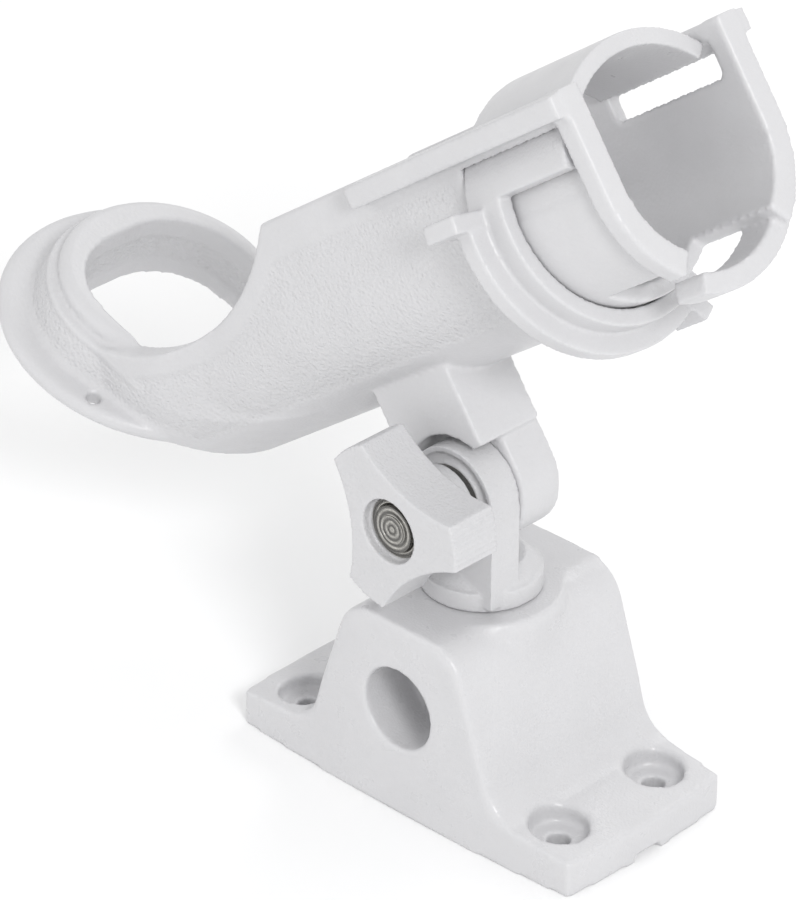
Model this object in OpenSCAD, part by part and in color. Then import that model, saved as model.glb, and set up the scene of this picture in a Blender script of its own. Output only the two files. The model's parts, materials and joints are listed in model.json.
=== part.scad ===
// Fishing rod holder: open rod cradle with a butt ring and a turning lock collar, on a tilting
// and swivelling post in a screw-down base. Millimetres. +Z up, X along the base, origin at the
// centre of the base's underside. The cradle's front end points to +X.

/* [Base] */
// Base length along X
base_l = 122; // [90:1:160]
// Base width along Y
base_w = 63; // [45:1:90]
// Height of the flat top of the base
base_h = 59; // [45:1:75]
// Thickness of the two screw flanges
flange_t = 12; // [8:0.5:18]
// Screw hole spacing along X
hole_dx = 94; // [70:1:120]
// Screw hole spacing along Y
hole_dy = 38; // [25:1:60]
// Screw hole radius
hole_r = 3.2; // [2:0.1:4.5]
// Screw head recess radius
head_r = 8.2; // [5:0.1:11]
// Socket radius, top and side
socket_r = 12; // [8:0.5:15]

/* [Post and pivot] */
// Post flange radius
post_r = 17; // [14:0.5:22]
// Height of the tilt pivot above the base underside
pivot_z = 90; // [80:1:110]
// Half width of the upright ear
ear_w = 15; // [11:0.5:18]
// Ear thickness along Y
ear_t = 11; // [7:0.5:14]
// Lug radius on the cradle arm
lug_r = 16; // [13:0.5:20]
// Pivot bolt radius
bolt_r = 4; // [3:0.5:5]
// Cradle tilt above the horizontal as drawn
tilt = 35.9; // [0:0.1:60]

/* [Cradle] */
// Rod channel radius
bore_r = 25.8; // [20:0.1:32]
// Tube wall outer radius
tube_r = 30.3; // [24:0.1:38]
// Tube axis height above the pivot, square to the axis
axis_h = 58.4; // [50:0.1:70]
// Tube axis offset along Y
cradle_y = 8; // [0:0.5:12]
// Front end of the tube, measured along its axis from the pivot
front_s = 119.4; // [90:0.1:130]
// Height of the rail tops above the tube axis
rail_u = 28.5; // [22:0.1:32]
// Half width over the rail lips
lip_y = 36.3; // [33:0.1:40]
// Butt ring centre along X
ring_x = -127.6; // [-150:0.1:-110]
// Height of the butt ring's centre, on the top of its rim
ring_z = 100.8; // [90:0.1:110]
// Tilt of the butt ring, rear end up
ring_tilt = 20; // [0:1:35]
// Butt ring height from foot to rim
ring_h = 21.5; // [16:0.5:28]
// Butt ring foot flange radius
ring_foot_r = 46; // [40:0.5:50]
// Half length of the butt ring's hole
ring_hole_r = 21; // [17:0.5:26]

/* [Collar] */
// Collar inner radius
collar_r = 30.7; // [26:0.1:38]
// Collar outer radius
collar_or = 35.3; // [30:0.1:42]
// Collar flange radius
collar_flange_r = 41.2; // [38:0.1:46]
// Thumb tab tip radius
tab_r = 47; // [43:0.5:52]

/* [Knob] */
// Knob lobe radius
knob_r = 24.5; // [18:0.5:32]
// Knob thickness
knob_t = 16; // [10:0.5:22]

/* [Hidden] */
$fn = 96;
eps = 0.02;
nylon = [0.93, 0.93, 0.92];
steel = [0.66, 0.67, 0.68];
gap = 0.05;
ear_near = -12.5;
ear_far = ear_near + ear_t;
lug_near = ear_far + gap;
lug_far = 13;
arm_near = -10.5;
arm_lo = -14;
arm_hi = 18;
arc_clear = ear_w + 2.2;
rail_end = -14;
lip_start = 31;
lip_low = 22;
rim_s = 113;
rim_r = 33.1;
slot_s0 = 69.4;
slot_s1 = 112.4;
slot_r = 35.7;
foot_h = 5;
shoulder_r = 34.2;
panel_r = 38;
rim_or = 31.8;
rim_round = 3;
hole_spread = 4.6;
washer_t = 2;
knob_back = ear_near - washer_t - 2 * gap;
hub_len = 6;
knob_rear = knob_back - hub_len;
knob_front = knob_rear - knob_t;
waist_r = 14;
recess_r = 9.2;
recess_d = 3;
stem_low = 25;
web_z = 18;

// a cylinder along +Y starting at y0
module along_y(y0, len, r) {
    translate([0, y0, 0]) rotate([-90, 0, 0]) cylinder(h = len, r = r);
}

// place children in the frame of the cradle's pivot, x along the tube and z away from the pivot
module pivot_frame() {
    translate([0, 0, pivot_z]) rotate([0, -tilt, 0]) children();
}

// place children in the frame of the rod tube, x along its axis
module tube_frame() {
    pivot_frame() translate([0, cradle_y, axis_h]) children();
}

// part of a ring about the tube axis, from angle a0 to a1, 0 on the far side and 90 on top
module arc_ring(s0, s1, r0, r1, a0, a1) {
    rotate([90, 0, 90]) translate([0, 0, s0]) rotate([0, 0, a0])
        rotate_extrude(angle = a1 - a0) translate([r0, 0]) square([r1 - r0, s1 - s0]);
}

// open-topped channel shape: round below the axis, straight above it
module channel(r, s0, s1, top) {
    translate([s0, 0, 0]) rotate([0, 90, 0]) cylinder(h = s1 - s0, r = r);
    translate([s0, -r, 0]) cube([s1 - s0, 2 * r, top]);
}

// wedge about the tube axis from angle a0 to a1, for cutting
module wedge(s0, s1, a0, a1, far = 70) {
    steps = 6;
    rotate([90, 0, 90]) translate([0, 0, s0]) linear_extrude(s1 - s0)
        polygon([[0, 0], for (k = [0:steps]) let (a = a0 + k * (a1 - a0) / steps) far * [cos(a), sin(a)]]);
}

// plate across Y from y0 to y1 with a side view given as children
module across(y0, y1) {
    translate([0, y1, 0]) rotate([90, 0, 0]) linear_extrude(y1 - y0) children();
}

// ---- base ----

// outline of the base seen from above, with slightly bowed sides and round corners
module base_plan() {
    bow = 1.4;
    big_l = 700;
    big_w = 260;
    corner = 6;
    intersection() {
        translate([0, base_w / 2 + bow - big_l]) circle(big_l, $fn = 720);
        translate([0, big_l - base_w / 2 - bow]) circle(big_l, $fn = 720);
        translate([base_l / 2 + bow - big_w, 0]) circle(big_w, $fn = 720);
        translate([big_w - base_l / 2 - bow, 0]) circle(big_w, $fn = 720);
        union() {
            square([base_l + 2 * bow, base_w + 2 * bow - 2 * corner], center = true);
            square([base_l + 2 * bow - 2 * corner, base_w + 2 * bow], center = true);
            for (x = [-1, 1], y = [-1, 1])
                translate([x * (base_l / 2 + bow - corner), y * (base_w / 2 + bow - corner)]) circle(corner);
        }
    }
}

// bell-shaped side view of the base
module base_bell() {
    shoulder = 12;
    foot_x = base_l / 2 + 5;
    fillet = 13;
    for (side = [0, 1]) mirror([side, 0]) {
        translate([11, base_h - shoulder]) circle(shoulder);
        polygon([[0, 0], [0, base_h - shoulder / 2], [22.3, base_h - 8], [35, flange_t + 1], [35, 0]]);
        polygon([[0, 0], [0, flange_t + 2], [36, flange_t + 1.3], [foot_x, flange_t - 2], [foot_x, 0]]);
        difference() {
            polygon([[28, flange_t], [32.2, flange_t + 9.4], [44.5, flange_t + 0.6], [44.5, flange_t - 2]]);
            translate([44.5, flange_t + 0.3 + fillet]) circle(fillet);
        }
    }
    translate([-11, 0]) square([22, base_h]);
}

module base_mount() {
    color(nylon) difference() {
        union() {
            intersection() {
                translate([0, base_w, 0]) rotate([90, 0, 0]) linear_extrude(2 * base_w) base_bell();
                linear_extrude(base_h + 5) base_plan();
            }
            translate([0, 0, base_h - 14]) cylinder(h = 14, r = 23.5);
        }
        // top socket for the post stem, its web and the pocket under it
        translate([0, 0, stem_low - 1]) cylinder(h = base_h, r = socket_r);
        translate([0, 0, -1]) cylinder(h = web_z + 1, r = 10.5);
        translate([0, 0, 1]) cylinder(h = base_h / 2, r = 7.1);
        // side socket
        translate([0, 0, 33]) along_y(-base_w, base_w - 14.5, socket_r);
        // screw holes with head recesses
        for (x = [-1, 1], y = [-1, 1]) translate([x * hole_dx / 2, y * hole_dy / 2, 0]) {
            translate([0, 0, -1]) cylinder(h = 20, r = hole_r);
            translate([0, 0, 7]) cylinder(h = base_h, r = head_r);
        }
        // drain notches under the two ends
        for (x = [-1, 1]) translate([x * (base_l / 2 + 2) - 3, -5, -1]) cube([6, 10, 3]);
    }
}

// ---- post ----
module swivel_post() {
    color(nylon) difference() {
        union() {
            translate([0, 0, stem_low]) cylinder(h = base_h - stem_low + 1, r = socket_r - gap);
            translate([0, 0, web_z + gap]) cylinder(h = stem_low, r = 7);
            translate([0, 0, base_h + gap]) cylinder(h = 6, r = post_r);
            across(ear_near, ear_far) {
                translate([0, pivot_z]) circle(ear_w);
                translate([-ear_w, base_h + 2]) square([2 * ear_w, pivot_z - base_h - 2]);
            }
            translate([0, 0, base_h + 6]) cylinder(h = 4, r1 = post_r - 1, r2 = ear_w - 3);
        }
        translate([0, 0, pivot_z]) along_y(-40, 80, bolt_r + gap);
        // hole for the stem screw
        translate([0, 0, 0]) cylinder(h = base_h - 6, r = 3.05);
        // clear the arm of the cradle on the far side
        translate([0, 0, pivot_z]) along_y(ear_far, 40, lug_r + 1.5);
        // shallow ring recess round the pivot on the knob side
        translate([0, 0, pivot_z]) difference() {
            along_y(ear_near - 1, 2, ear_w - 2);
            along_y(ear_near - 2, 4, 10.5);
        }
    }
}

module stem_washer() {
    color(steel) translate([0, 0, web_z - 1.6]) difference() {
        cylinder(h = 1.6 - gap, r = 9);
        translate([0, 0, -1]) cylinder(h = 4, r = 3.05);
    }
}

module stem_screw() {
    color(steel) difference() {
        union() {
            translate([0, 0, web_z - 1.6 - gap - 4]) cylinder(h = 4, r = 5);
            translate([0, 0, web_z - 3]) cylinder(h = 28, r = 3);
        }
        translate([0, 0, web_z - 7]) cylinder(h = 3.6, r = 2.3, $fn = 6);
    }
}

// ---- cradle ----

// the butt ring's own frame: origin at the centre of its rim's top, Z square to the ring
module ring_frame() {
    translate([ring_x, cradle_y, ring_z]) rotate([0, ring_tilt, 0]) children();
}

// butt ring section: flat rim with a rounded edge, stepped shoulder, sloping panel, foot flange
module ring_section() {
    inner = ring_hole_r - 4;
    edge = foot_h / 2;
    translate([inner, -ring_h]) square([rim_or - rim_round - inner, ring_h - 0.2]);
    translate([rim_or - rim_round, -rim_round]) circle(rim_round);
    polygon([
        [inner, -ring_h], [inner, -5.5], [shoulder_r, -5.5],
        [panel_r, 3.5 - ring_h], [panel_r, -ring_h]]);
    translate([inner, -ring_h]) square([ring_foot_r - inner - edge, foot_h]);
    translate([ring_foot_r - edge, edge - ring_h]) circle(edge);
}

// flared rear body between the tube and the ring, seen square to the ring
module rear_plan() {
    polygon([
        [-2, -panel_r + 1], [30, -34], [72, -19],
        [72, 19], [30, 34], [-2, panel_r - 1]]);
}

module cradle_outer() {
    intersection() {
        union() {
            tube_frame() channel(tube_r, -112, front_s - 1, rail_u);
            intersection() {
                ring_frame() translate([0, 0, -ring_h - 2]) linear_extrude(90) rear_plan();
                tube_frame() translate([0, 0, 4.4]) channel(34.2, -130, -22, rail_u - 5.4);
            }
        }
        ring_frame() translate([-60, -80, 0.3 - ring_h]) cube([360, 160, 300]);
    }
}

module cradle_arm() {
    pivot_frame() difference() {
        union() {
            across(lug_near, lug_far) {
                circle(lug_r);
                translate([-lug_r, 0]) square([2 * lug_r, 34]);
            }
            translate([arm_lo, arm_near, 10]) cube([arm_hi - arm_lo, lug_far - 1 - arm_near, 23.5]);
        }
        along_y(-40, 40 + lug_near, arc_clear);
        along_y(-40, 90, bolt_r + gap);
        // recess for the bolt head and its washer
        along_y(lug_far - 5, 10, 8.3);
    }
}

module cradle_front() {
    tube_frame() {
        for (side = [-1, 1])
            translate([lip_start, side > 0 ? tube_r - 2 : -lip_y, lip_low])
                cube([front_s - lip_start - 0.5, lip_y - tube_r + 2, rail_u - 0.3 - lip_low]);
        channel(rim_r, rim_s, front_s, rail_u + 0.3);
    }
}

module cradle_cuts() {
    tube_frame() {
        // way through both walls for the collar
        arc_ring(slot_s0, slot_s1, tube_r - 0.4, slot_r, 4, 176);
        // gap in the bottom of the front end
        wedge(88, front_s + 2, -126, -52);
    }
    // rod channel, open into the front half of the ring
    intersection() {
        tube_frame() channel(bore_r, -120, front_s + 5, 60);
        ring_frame() translate([0.3, -60, -60]) cube([400, 120, 300]);
    }
    // way out for the butt under the ring
    tube_frame() translate([-146, 0, 0]) rotate([0, 90, 0]) cylinder(h = 60, r = bore_r - 0.4);
    ring_frame() {
        for (side = [-1, 1])
            translate([0, side * hole_spread, -60]) cylinder(h = 100, r = ring_hole_r);
        translate([-ring_hole_r + 0.05, -hole_spread, -60])
            cube([2 * ring_hole_r - 0.1, 2 * hole_spread, 100]);
        // small drain hole through the foot flange
        rotate([0, 0, -69]) translate([40.8, 0, -ring_h - 2]) cylinder(h = 10.5, r = 2.2);
    }
}

module rod_cradle() {
    color(nylon) union() {
        difference() {
            union() {
                difference() {
                    cradle_outer();
                    tube_frame() translate([-63.5, 60, 74.8]) rotate([90, 0, 0])
                        cylinder(h = 120, r = 68, $fn = 240);
                }
                cradle_front();
                cradle_arm();
                ring_frame() rotate_extrude() ring_section();
            }
            cradle_cuts();
        }
        // guard across the gap in the front rim
        tube_frame() arc_ring(104, 116, tube_r - 0.8, collar_or, -112, -25);
    }
}

// ---- collar ----
module locking_collar() {
    a0 = 42;
    a1 = 163;
    hub_end = 300;
    tab_t = 5;
    color(nylon) tube_frame() {
        difference() {
            arc_ring(70, 111, collar_r, collar_or, a0, hub_end);
            wedge(83, 120, a1, hub_end + 20);
        }
        arc_ring(70.4, 76, collar_r + 2, collar_flange_r, 172, 296);
        for (a = [169, 298]) rotate([a, 0, 0]) translate([64, 0, 0]) {
            translate([0, collar_or - 2, -tab_t / 2]) cube([12.6, tab_r - collar_or + 1, tab_t]);
        }
    }
}

// ---- pivot hardware ----
module pivot_bolt() {
    color(steel) pivot_frame() difference() {
        union() {
            along_y(knob_front + 1.5, lug_far - 2 - knob_front - 1.5, bolt_r);
            along_y(lug_far - 5 + 1.6 + gap, 3.2, 6.5);
        }
        along_y(lug_far - 1.6, 3, 2.5);
    }
}

module bolt_head_washer() {
    color(steel) pivot_frame() difference() {
        along_y(lug_far - 5 + gap, 1.6 - gap, 8);
        along_y(lug_far - 8, 9, bolt_r + gap);
    }
}

// three lobes with hollow flanks
module knob_outline() {
    difference() {
        circle(knob_r);
        for (a = [70, 190, 310]) rotate([0, 0, a]) translate([waist_r + 44, 0]) circle(44);
        for (lobe = [10, 130, 250], k = [-4:4]) rotate([0, 0, lobe + k * 4.2]) translate([knob_r + 0.35, 0]) circle(0.8);
    }
}

module clamp_knob() {
    color(nylon) translate([0, 0, pivot_z]) difference() {
        union() {
            translate([0, knob_rear, 0]) rotate([90, 0, 0]) linear_extrude(knob_t) knob_outline();
            along_y(knob_rear - 1, hub_len + 1, 11);
        }
        along_y(knob_front - 1, recess_d + 1, recess_r);
        along_y(knob_front, 12, 8.5);
        along_y(knob_front, 40, bolt_r + 0.4);
    }
}

module knob_insert() {
    color(steel) translate([0, 0, pivot_z]) difference() {
        union() {
            along_y(knob_front + recess_d, 12 - recess_d - gap, 8.5);
            along_y(knob_front + recess_d - 1.2, 3, 6.6);
        }
        along_y(knob_front, 20, bolt_r + gap);
    }
}

module knob_washer() {
    color(steel) translate([0, 0, pivot_z]) difference() {
        along_y(ear_near - washer_t - gap, washer_t, 10);
        along_y(ear_near - 5, 9, bolt_r + gap);
    }
}

base_mount();
swivel_post();
stem_washer();
stem_screw();
rod_cradle();
locking_collar();
pivot_bolt();
bolt_head_washer();
clamp_knob();
knob_insert();
knob_washer();
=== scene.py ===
"""Fishing rod holder in white moulded nylon: looks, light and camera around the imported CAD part."""
import json
import math

import bmesh
import bpy
import numpy as np
from mathutils import Matrix, Vector


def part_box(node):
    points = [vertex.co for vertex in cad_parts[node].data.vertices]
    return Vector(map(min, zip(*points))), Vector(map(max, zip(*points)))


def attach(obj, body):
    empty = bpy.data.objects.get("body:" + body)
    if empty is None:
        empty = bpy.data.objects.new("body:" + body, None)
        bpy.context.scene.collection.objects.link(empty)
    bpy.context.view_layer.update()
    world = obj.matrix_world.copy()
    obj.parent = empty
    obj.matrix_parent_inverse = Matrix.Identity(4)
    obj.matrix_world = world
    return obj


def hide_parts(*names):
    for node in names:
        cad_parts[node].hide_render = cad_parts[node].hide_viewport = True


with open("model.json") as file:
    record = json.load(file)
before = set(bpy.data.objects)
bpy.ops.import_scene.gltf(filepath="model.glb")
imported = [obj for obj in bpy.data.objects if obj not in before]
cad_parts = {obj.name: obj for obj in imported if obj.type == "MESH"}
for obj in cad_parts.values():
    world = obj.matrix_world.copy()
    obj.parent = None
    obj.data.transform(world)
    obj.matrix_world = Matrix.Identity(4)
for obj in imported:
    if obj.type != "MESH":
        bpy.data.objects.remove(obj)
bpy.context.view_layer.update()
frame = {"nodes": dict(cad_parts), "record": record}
record = frame["record"]
BODY_OF = {node: body
           for body, nodes in record["behaviour"]["bodies"].items() for node in nodes}
SLOT_OF = {part["node"]: part["material_slot"] for part in record["subparts"]}
JOINTS = {joint["name"]: joint for joint in record["behaviour"]["joints"]}
MOUNTS = {mount["name"]: mount for mount in record["mounts"]}

MM = 0.001
UPRIGHT = (0, 0, 1)
ACROSS = (0, 1, 0)
SIDE_SOCKET_Z = MOUNTS["side_socket"]["pos_m"][2]
PIVOT = Vector(JOINTS["cradle_tilt"]["pos_m"])
TUBE_DIR = Vector(JOINTS["collar_turn"]["axis"])
TUBE_AT = Vector(JOINTS["collar_turn"]["pos_m"])

# The cradle's shape, where its side panels follow it.
RING_AT = Vector((-0.1276, 0.008, 0.1008))   # centre of the butt ring's rim
RING_TILT = math.radians(20)
RING_H = 0.0215                              # from the ring's foot up to its rim
ARC_AT = (-0.0635, 0.0748)   # centre of the saddle in the wall tops, along and above the tube
ARC_R = 0.068


# ---- camera -------------------------------------------------------------------------------

def add_camera(azimuth, elevation, roll, position, focal_share):
    """A camera at position that looks down the direction given, in degrees and metres.
    focal_share is the focal length over the picture's width."""
    az, el, turn = (math.radians(v) for v in (azimuth, elevation, roll))
    back = Vector((math.sin(az) * math.cos(el), -math.cos(az) * math.cos(el), math.sin(el)))
    right = Vector((math.cos(az), math.sin(az), 0))
    up = back.cross(right)
    columns = (right * math.cos(turn) + up * math.sin(turn),
               up * math.cos(turn) - right * math.sin(turn), back)
    data = bpy.data.cameras.new("photo_camera")
    camera = bpy.data.objects.new("photo_camera", data)
    bpy.context.scene.collection.objects.link(camera)
    camera.matrix_world = Matrix.Translation(position) @ Matrix(columns).transposed().to_4x4()
    data.sensor_fit = "HORIZONTAL"
    data.sensor_width = 36
    data.lens = focal_share * data.sensor_width
    data.clip_start = 0.05
    data.clip_end = 30
    bpy.context.scene.camera = camera


add_camera(azimuth=43.7626, elevation=30.1518, roll=0.4592,
           position=(0.8176, -0.8857, 0.7996), focal_share=6.5634)


# ---- shader nodes -------------------------------------------------------------------------

def new_material(name):
    """An empty material with one shader in it."""
    material = bpy.data.materials.new(name)
    material.use_nodes = True
    nodes = material.node_tree.nodes
    nodes.clear()
    shader = nodes.new("ShaderNodeBsdfPrincipled")
    output = nodes.new("ShaderNodeOutputMaterial")
    material.node_tree.links.new(shader.outputs["BSDF"], output.inputs["Surface"])
    return material, shader


def shade(colour, factor):
    """The colour made lighter or darker."""
    return tuple(min(1, channel * factor) for channel in colour)


class Net:
    """Short ways to make and join shader nodes in one material."""

    COLOUR_INPUTS = (6, 7)   # the mix node's sockets for colours; its others are for numbers
    COLOUR_OUTPUT = 2

    def __init__(self, material):
        self.tree = material.node_tree
        self.place = self.add("ShaderNodeTexCoord").outputs["Object"]

    def add(self, kind, **settings):
        node = self.tree.nodes.new(kind)
        for key, value in settings.items():
            setattr(node, key, value)
        return node

    def join(self, source, target):
        """Links a socket to the target, or sets the target to a plain value."""
        if isinstance(source, bpy.types.NodeSocket):
            self.tree.links.new(source, target)
        else:
            target.default_value = source

    def noise(self, size, detail=3, rough=0.55):
        """Noise with features about size metres across."""
        node = self.add("ShaderNodeTexNoise")
        self.join(self.place, node.inputs["Vector"])
        node.inputs["Scale"].default_value = 1 / size
        node.inputs["Detail"].default_value = detail
        node.inputs["Roughness"].default_value = rough
        return node.outputs["Fac"]

    def cells(self, size):
        """Soft round cells about size metres across."""
        node = self.add("ShaderNodeTexVoronoi", feature="SMOOTH_F1")
        self.join(self.place, node.inputs["Vector"])
        node.inputs["Scale"].default_value = 1 / size
        return node.outputs["Distance"]

    def spread(self, value, low, high, to_low=0, to_high=1):
        """value's range from low to high, stretched over to_low to to_high."""
        node = self.add("ShaderNodeMapRange")
        self.join(value, node.inputs["Value"])
        for key, number in (("From Min", low), ("From Max", high),
                            ("To Min", to_low), ("To Max", to_high)):
            node.inputs[key].default_value = number
        return node.outputs["Result"]

    def math(self, operation, a, b=0):
        node = self.add("ShaderNodeMath", operation=operation)
        self.join(a, node.inputs[0])
        self.join(b, node.inputs[1])
        return node.outputs[0]

    def blend(self, share, a, b):
        """Colour a where share is 0 and b where it is 1."""
        node = self.add("ShaderNodeMix", data_type="RGBA")
        self.join(share, node.inputs["Factor"])
        for index, colour in zip(self.COLOUR_INPUTS, (a, b)):
            plain = not isinstance(colour, bpy.types.NodeSocket)
            self.join((*colour, 1) if plain else colour, node.inputs[index])
        return node.outputs[self.COLOUR_OUTPUT]

    def bump(self, height, depth, under=None):
        """A bump map. depth is the real height in metres of a height of 1."""
        node = self.add("ShaderNodeBump")
        node.inputs["Strength"].default_value = 1
        node.inputs["Distance"].default_value = depth
        self.join(height, node.inputs["Height"])
        if under is not None:
            self.join(under, node.inputs["Normal"])
        return node.outputs["Normal"]

    def edges(self):
        """0 in hollows, about 0.5 on flats and 1 on sharp edges."""
        return self.add("ShaderNodeNewGeometry").outputs["Pointiness"]

    def rings(self, radius, pitch):
        """A wave that runs outwards from an axis, from -1 to 1."""
        return self.math("SINE", self.math("MULTIPLY", radius, 2 * math.pi / pitch))


# ---- nylon --------------------------------------------------------------------------------

NYLON = (0.59, 0.588, 0.600)     # set so that the render's greys come near the photograph's
MID_NOISE = (0.35, 0.65)         # the middle of a noise's range
WIDE_NOISE = (0.3, 0.7)
WORN_EDGE = (0.55, 0.64)         # edge values from flat to fully polished
PAINTED_SHADE_EDGE = (0.36, 0.45)       # edge values from a deep hollow to flat, over which the painted shade fades out
CLOUD_SIZE = 18 * MM
CLOUD_SHADE = 0.975
SPECK_SIZE = 0.9 * MM
SPECK_PEAKS = (0.60, 0.72)       # only the noise's peaks become specks
SPECK_SHARE, SPECK_SHADE = 0.10, 0.93
# painted shade: how much the colour darkens in hollows, and how dark it gets
PAINTED_SHADE_SHARE, PAINTED_SHADE_FACTOR = 0.35, 0.86
WORN_SHARE, WORN_SHADE = 0.5, 1.05
WORN_GLOSS = 0.12                # how much less rough a polished edge is
WORN_GRAIN = 0.2                 # the share of the grain that is left on it
PATCH_SIZE = 7 * MM              # patches of a little more or less gloss
PATCH_GLOSS = (-0.05, 0.07)
FLOW_SIZE, FLOW_DEPTH = 24 * MM, 0.25 * MM
PEBBLE_NOISE = 0.8               # noise added to the grain's round cells


def nylon(name, grain_size, grain_depth, roughness, tint=1.0):
    """White nylon from a spark-textured mould: a pebble grain that is polished on the edges,
    faint flow marks, and painted shade that greys the hollows."""
    material, shader = new_material(name)
    net = Net(material)
    edge = net.edges()
    worn = net.spread(edge, *WORN_EDGE)
    # painted shade: the colour darkens where the surface is hollow
    painted_shade = net.spread(edge, *PAINTED_SHADE_EDGE, 1, 0)
    cloud = net.spread(net.noise(CLOUD_SIZE), *MID_NOISE)
    speck = net.spread(net.noise(SPECK_SIZE, detail=2), *SPECK_PEAKS)
    base = shade(NYLON, tint)
    colour = net.blend(cloud, base, shade(base, CLOUD_SHADE))
    for cover, share, factor in ((speck, SPECK_SHARE, SPECK_SHADE),
                                 (painted_shade, PAINTED_SHADE_SHARE, PAINTED_SHADE_FACTOR),
                                 (worn, WORN_SHARE, WORN_SHADE)):
        colour = net.blend(net.math("MULTIPLY", cover, share), colour, shade(base, factor))
    net.join(colour, shader.inputs["Base Color"])

    low, high = (roughness + change for change in PATCH_GLOSS)
    patch = net.spread(net.noise(PATCH_SIZE), *WIDE_NOISE, low, high)
    net.join(net.math("SUBTRACT", patch, net.math("MULTIPLY", worn, WORN_GLOSS)),
             shader.inputs["Roughness"])

    pebble = net.math("ADD", net.cells(grain_size),
                      net.math("MULTIPLY", net.noise(grain_size), PEBBLE_NOISE))
    grained = net.add("ShaderNodeAttribute", attribute_name="grain").outputs["Fac"]
    smooth = net.math("MULTIPLY", grained, net.spread(worn, 0, 1, 1, WORN_GRAIN))
    flow = net.bump(net.noise(FLOW_SIZE, detail=1), FLOW_DEPTH)
    net.join(net.bump(net.math("MULTIPLY", pebble, smooth), grain_depth, under=flow),
             shader.inputs["Normal"])

    shader.inputs["Specular IOR Level"].default_value = 0.5
    shader.inputs["Subsurface Weight"].default_value = 0.12
    shader.inputs["Subsurface Radius"].default_value = (0.9, 0.95, 1.0)
    shader.inputs["Subsurface Scale"].default_value = 1.2 * MM
    return material


NYLONS = {
    "cradle_nylon": nylon("nylon_cradle", 1.0 * MM, 0.30 * MM, roughness=0.36),
    "collar_nylon": nylon("nylon_collar", 0.70 * MM, 0.06 * MM, roughness=0.32),
    "post_nylon": nylon("nylon_post", 0.75 * MM, 0.12 * MM, roughness=0.38, tint=0.985),
    "knob_nylon": nylon("nylon_knob", 0.80 * MM, 0.16 * MM, roughness=0.38, tint=0.99),
    "base_nylon": nylon("nylon_base", 0.70 * MM, 0.05 * MM, roughness=0.30, tint=1.01),
}


# ---- stainless steel ----------------------------------------------------------------------

STEEL_LIGHT = (0.50, 0.49, 0.46)
STEEL_DARK = (0.34, 0.33, 0.31)
# painted shade: the colour put into the steel's grooves and hollows
PAINTED_SHADE_STEEL = (0.10, 0.098, 0.095)
STEEL_ROUGHNESS = (0.22, 0.40)
STEEL_SHADE_EDGE = (0.38, 0.50)  # edge values from a deep hollow to flat, over which the painted shade fades out
GROOVE_PITCH, GROOVE_DEPTH = 1.7 * MM, 0.22 * MM
GROOVE_FLOOR = (-0.9, 0.1)       # the part of the groove's wave that gets painted shade
GROOVE_SHADE_SHARE = 0.85
LATHE_PITCH, LATHE_DEPTH = 0.28 * MM, 0.012 * MM
SCRATCH_SIZE = 0.6 * MM
SCRATCH_RELIEF = 2               # the scratches' height beside the lathe marks'


def stainless(name, centre, axis):
    """Turned stainless steel: rings round an axis with painted shade in their grooves, small
    scratches, and painted shade in the hollows.
    """
    material, shader = new_material(name)
    net = Net(material)
    away = net.add("ShaderNodeVectorMath", operation="SUBTRACT")
    net.join(net.place, away.inputs[0])
    away.inputs[1].default_value = centre
    along = net.add("ShaderNodeVectorMath", operation="CROSS_PRODUCT")
    net.join(away.outputs["Vector"], along.inputs[0])
    along.inputs[1].default_value = axis
    radius = net.add("ShaderNodeVectorMath", operation="LENGTH")
    net.join(along.outputs["Vector"], radius.inputs[0])
    groove = net.rings(radius.outputs["Value"], GROOVE_PITCH)
    lathe = net.rings(radius.outputs["Value"], LATHE_PITCH)

    scratch = net.noise(SCRATCH_SIZE, detail=5, rough=0.7)
    # painted shade: the colour darkens where the surface is hollow
    hollow_shade = net.spread(net.edges(), *STEEL_SHADE_EDGE, 1, 0)
    colour = net.blend(net.spread(scratch, *MID_NOISE), STEEL_LIGHT, STEEL_DARK)
    # painted shade: the groove floors are drawn dark
    groove_shade = net.spread(groove, *GROOVE_FLOOR, GROOVE_SHADE_SHARE, 0)
    colour = net.blend(groove_shade, colour, PAINTED_SHADE_STEEL)
    net.join(net.blend(hollow_shade, colour, PAINTED_SHADE_STEEL), shader.inputs["Base Color"])
    shader.inputs["Metallic"].default_value = 1
    net.join(net.spread(scratch, *WIDE_NOISE, *STEEL_ROUGHNESS), shader.inputs["Roughness"])

    marks = net.math("ADD", lathe, net.math("MULTIPLY", scratch, SCRATCH_RELIEF))
    net.join(net.bump(marks, LATHE_DEPTH, under=net.bump(groove, GROOVE_DEPTH)),
             shader.inputs["Normal"])
    return material


METAL_ACROSS = stainless("stainless_across", PIVOT, ACROSS)
METAL_UPRIGHT = stainless("stainless_upright", (0, 0, 0), UPRIGHT)


# ---- where a skin is grained or soft ------------------------------------------------------

PANEL_SLOPE = 1.6 * MM                         # width of the slope round a side panel
PANEL_REAR, PANEL_FRONT = -90 * MM, 66 * MM    # along the tube from the pivot
PANEL_FOOT, PANEL_TOP = -21 * MM, 19 * MM      # over the tube's axis
SADDLE_BORDER = 5.5 * MM                       # between the panel and the saddle's edge
RING_PANEL_FRONT = -84 * MM                    # along the tube, where the ring's panel ends
RING_ROUND_FRONT = -88 * MM                    # behind this the ring is all side
RING_PANEL_FOOT, RING_PANEL_TOP = 5.6 * MM, 15 * MM   # over the ring's foot
BELL_FOOT = 9 * MM                             # the bell rounds off above this
SIDE_HOLE_BORDER = 13 * MM                     # radii that stay as they are round the sockets
TOP_HOLE_BORDER = 17.5 * MM


def above(value, start, ramp):
    """0 up to start, then a smooth rise to 1 over the ramp."""
    t = np.clip((value - start) / ramp, 0, 1)
    return t * t * (3 - 2 * t)


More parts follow.
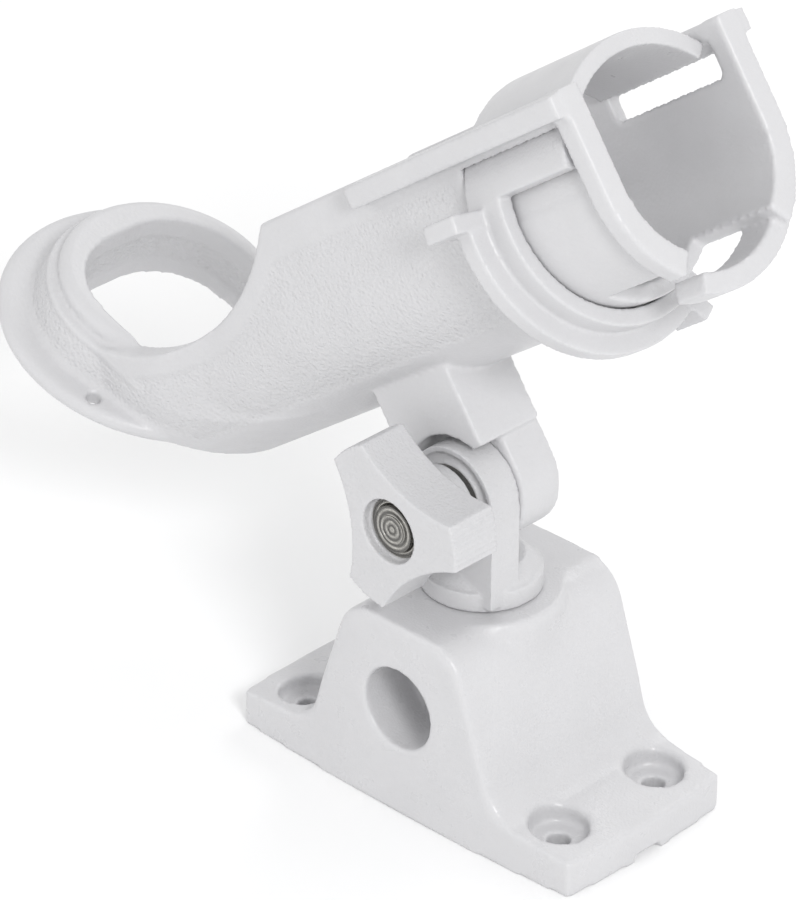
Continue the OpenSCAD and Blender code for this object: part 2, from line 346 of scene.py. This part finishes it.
def below(value, end, ramp):
    """1 up to the ramp that leads to end, and 0 from there on."""
    return above(-value, -end, ramp)


# The functions from here on take a skin's points and normals, and give a share from 0 to 1
# at each point.

def everywhere(points, normals):
    return np.ones(len(points))


def cradle_panel(points, normals):
    """1 on the cradle's sunken side panels and 0 on their smooth raised borders."""
    across = points[:, 1] - TUBE_AT.y
    outward = np.sign(across) * normals[:, 1]
    up = Vector((-TUBE_DIR.z, 0, TUBE_DIR.x))
    height = (points - np.array(TUBE_AT)) @ np.array(up)
    along = (points - np.array(PIVOT)) @ np.array(TUBE_DIR)
    below_saddle = np.hypot(along - ARC_AT[0], height - ARC_AT[1]) - ARC_R
    ring_up = np.array((math.sin(RING_TILT), 0, math.cos(RING_TILT)))
    over_foot = (points - np.array(RING_AT)) @ ring_up + RING_H
    on_tube = (above(along, PANEL_REAR, ramp=4 * MM) * below(along, PANEL_FRONT, ramp=2 * MM)
               * above(height, PANEL_FOOT, PANEL_SLOPE) * below(height, PANEL_TOP, PANEL_SLOPE)
               * above(below_saddle, SADDLE_BORDER, PANEL_SLOPE))
    on_ring = (below(along, RING_PANEL_FRONT, ramp=4 * MM)
               * below(over_foot, RING_PANEL_TOP, PANEL_SLOPE))
    on_side = np.maximum(above(outward, 0.45, ramp=0.15),
                         below(along, RING_ROUND_FRONT, ramp=8 * MM))
    clear_of_foot = above(over_foot, RING_PANEL_FOOT, PANEL_SLOPE)
    return on_side * np.maximum(on_tube, on_ring) * clear_of_foot


def bell_share(points, normals):
    """How freely the base's bell may round off: 1 on the bell, 0 on its flanges and by its
    sockets, so that those keep their shape."""
    low, high = (np.array(corner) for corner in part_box("base_mount"))
    middle_y = (low[1] + high[1]) / 2
    from_side_hole = np.hypot(points[:, 0], points[:, 2] - SIDE_SOCKET_Z)
    from_top_hole = np.hypot(points[:, 0], points[:, 1])
    over_flanges = above(points[:, 2], BELL_FOOT, ramp=8 * MM)
    off_the_top = below(normals[:, 2], 0.98, ramp=0.08)
    off_the_side = np.maximum(above(from_side_hole, SIDE_HOLE_BORDER, ramp=3 * MM),
                              above(points[:, 1], middle_y, ramp=5 * MM))
    return (over_flanges * off_the_top * off_the_side
            * above(from_top_hole, TOP_HOLE_BORDER, ramp=2.5 * MM))


# ---- moulded skins ------------------------------------------------------------------------

SMOOTHING = 0.5                  # how far each pass moves a point towards its neighbours
SOFT_LEVELS = 10                 # steps between fixed and free in a soft group
SOFT_PASSES, QUICK_SOFT_PASSES = 36, 20
PANEL_DEPTH = 0.6 * MM


def finished(obj):
    """Puts obj's modifiers into its mesh."""
    bpy.context.view_layer.update()
    result = bpy.data.meshes.new_from_object(obj.evaluated_get(
        bpy.context.evaluated_depsgraph_get()))
    obj.modifiers.clear()
    obj.data = result
    return obj


def place(obj, nodes, material):
    """Dresses obj as the piece that stands for these CAD nodes."""
    obj.data.materials.clear()
    obj.data.materials.append(material)
    for polygon in obj.data.polygons:
        polygon.use_smooth = True
    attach(obj, BODY_OF[nodes[0]])
    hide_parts(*nodes)
    return obj


def shape_of(mesh):
    """The mesh's points and normals as arrays."""
    points = np.zeros(len(mesh.vertices) * 3, np.float32)
    normals = np.zeros(len(mesh.vertices) * 3, np.float32)
    mesh.vertices.foreach_get("co", points)
    mesh.vertex_normals.foreach_get("vector", normals)
    return points.reshape(-1, 3), normals.reshape(-1, 3)


def relax(skin, share, passes):
    """Smooths the surface where share is above 0, for large round corners."""
    weights = share(*shape_of(skin.data))
    group = skin.vertex_groups.new(name="soft")
    for level in range(1, SOFT_LEVELS + 1):
        chosen = np.nonzero(np.round(weights * SOFT_LEVELS).astype(int) == level)[0]
        group.add(chosen.tolist(), level / SOFT_LEVELS, "REPLACE")
    smooth = skin.modifiers.new("relax", "SMOOTH")
    smooth.factor = SMOOTHING
    smooth.iterations = passes
    smooth.vertex_group = "soft"
    finished(skin)


def sink(skin, share, depth):
    """Sets the surface in by depth where share is 1."""
    points, normals = shape_of(skin.data)
    points = points - normals * (share(points, normals) * depth)[:, None]
    skin.data.vertices.foreach_set("co", points.ravel())


def set_grain(skin, share, low, high):
    """Writes how deep the pebble grain is: high where share is 1 and low where it is 0."""
    depth = low + (high - low) * share(*shape_of(skin.data))
    grain = skin.data.attributes.new("grain", "FLOAT", "POINT")
    grain.data.foreach_set("value", depth.astype(np.float32))


def moulded(node, voxel, passes, triangles, panel=None, soft=None, relief=0.0):
    """A skin over a CAD node with the rounded edges and soft inside corners of a moulding, of
    about this many triangles at most. Passes of smoothing round the edges, panel says where
    the surface is sunk and fully grained, soft says where it rounds off further, and relief
    draws the whole skin in, for clearance."""
    skin = bpy.data.objects.new(node + "_skin", frame["nodes"][node].data.copy())
    bpy.context.scene.collection.objects.link(skin)
    remesh = skin.modifiers.new("remesh", "REMESH")
    remesh.mode = "VOXEL"
    remesh.voxel_size = voxel * 1
    soften = skin.modifiers.new("soften", "SMOOTH")
    soften.factor = SMOOTHING
    soften.iterations = passes
    finished(skin)
    if soft:
        relax(skin, soft, SOFT_PASSES)
    if panel:
        sink(skin, panel, PANEL_DEPTH)
    if relief:
        sink(skin, everywhere, relief)
    made = len(skin.data.polygons) * 2   # the remesh makes four-sided faces
    if made > triangles:
        thin = skin.modifiers.new("thin", "DECIMATE")
        thin.ratio = triangles / made
        finished(skin)
    set_grain(skin, panel or everywhere, low=0.25, high=1.0)
    return place(skin, [node], NYLONS[SLOT_OF[node]])


moulded("base_mount", voxel=0.75 * MM, passes=4, triangles=200000, soft=bell_share)
moulded("swivel_post", voxel=0.50 * MM, passes=4, triangles=200000, relief=0.18 * MM)
moulded("rod_cradle", voxel=0.80 * MM, passes=4, triangles=320000, panel=cradle_panel)
moulded("locking_collar", voxel=0.55 * MM, passes=4, triangles=200000)
moulded("clamp_knob", voxel=0.45 * MM, passes=3, triangles=200000)


# ---- metal pieces -------------------------------------------------------------------------

METAL_BEVEL = 0.25 * MM


def turned(node, material):
    """Gives a CAD node the metal's looks and a small bevel on its edges."""
    part = frame["nodes"][node]
    part.data.materials.clear()
    part.data.materials.append(material)
    bevel = part.modifiers.new("bevel", "BEVEL")
    bevel.width = METAL_BEVEL
    bevel.segments = 2
    bevel.limit_method = "ANGLE"


for node in ("stem_washer", "stem_screw"):
    turned(node, METAL_UPRIGHT)
for node in ("pivot_bolt", "bolt_head_washer", "knob_insert", "knob_washer"):
    turned(node, METAL_ACROSS)


# ---- floor and light ----------------------------------------------------------------------

FLOOR_STRIPS = 40
FLOOR_FLAT = 0.55                # the share of the floor's depth that is flat
FLOOR_LIFT = 0.5                 # how high the sweep ends, over the floor's size
FLOOR_TURN = math.radians(44)    # sets the sweep behind the object in the photograph's view
PAPER_LIGHT, PAPER_DARK = (0.93, 0.93, 0.93), (0.91, 0.912, 0.915)
PAPER_CLOUD = 90 * MM
PAPER_TOOTH, PAPER_TOOTH_DEPTH = 2 * MM, 0.02 * MM


def add_floor(size):
    """A plain pale sweep: a flat floor that turns up smoothly far behind the object."""
    profile = []
    for strip in range(FLOOR_STRIPS + 1):
        t = strip / FLOOR_STRIPS
        lift = max(0.0, t - FLOOR_FLAT) / (1 - FLOOR_FLAT)
        profile.append((size * (2 * t - 1), size * FLOOR_LIFT * lift ** 3))
    build = bmesh.new()
    rows = [[build.verts.new((x, y, z)) for x in (-size, size)] for y, z in profile]
    for near, far in zip(rows, rows[1:]):
        build.faces.new((near[0], near[1], far[1], far[0]))
    mesh = bpy.data.meshes.new("floor")
    build.to_mesh(mesh)
    build.free()
    for polygon in mesh.polygons:
        polygon.use_smooth = True
    floor = bpy.data.objects.new("floor", mesh)
    bpy.context.scene.collection.objects.link(floor)
    material, shader = new_material("floor_paper")
    net = Net(material)
    net.join(net.blend(net.noise(PAPER_CLOUD), PAPER_LIGHT, PAPER_DARK),
             shader.inputs["Base Color"])
    net.join(net.bump(net.noise(PAPER_TOOTH), PAPER_TOOTH_DEPTH), shader.inputs["Normal"])
    shader.inputs["Roughness"].default_value = 0.86
    shader.inputs["Specular IOR Level"].default_value = 0.15
    floor.data.materials.append(material)
    floor.rotation_euler.z = FLOOR_TURN


def add_light(name, place_at, aim, size, watts):
    """A round soft light at place_at that shines towards aim."""
    data = bpy.data.lights.new(name, "AREA")
    data.shape = "DISK"
    data.size = size
    data.energy = watts
    light = bpy.data.objects.new(name, data)
    bpy.context.scene.collection.objects.link(light)
    light.location = place_at
    light.rotation_euler = (Vector(aim) - Vector(place_at)).to_track_quat("-Z", "Y").to_euler()


add_floor(4.0)
middle = (0, 0, 0.12)
add_light("key", (1.25, -0.7, 1.1), middle, size=0.45, watts=13)
add_light("fill", (-0.9, -1.0, 0.5), middle, size=0.9, watts=2)
add_light("back", (-0.3, 1.3, 1.1), middle, size=1.0, watts=4)
world = bpy.data.worlds.new("studio")
bpy.context.scene.world = world
world.use_nodes = True
world.node_tree.nodes["Background"].inputs["Color"].default_value = (1, 1, 1, 1)
world.node_tree.nodes["Background"].inputs["Strength"].default_value = 0.86
bpy.context.scene.view_settings.view_transform = "Standard"

bpy.context.view_layer.update()
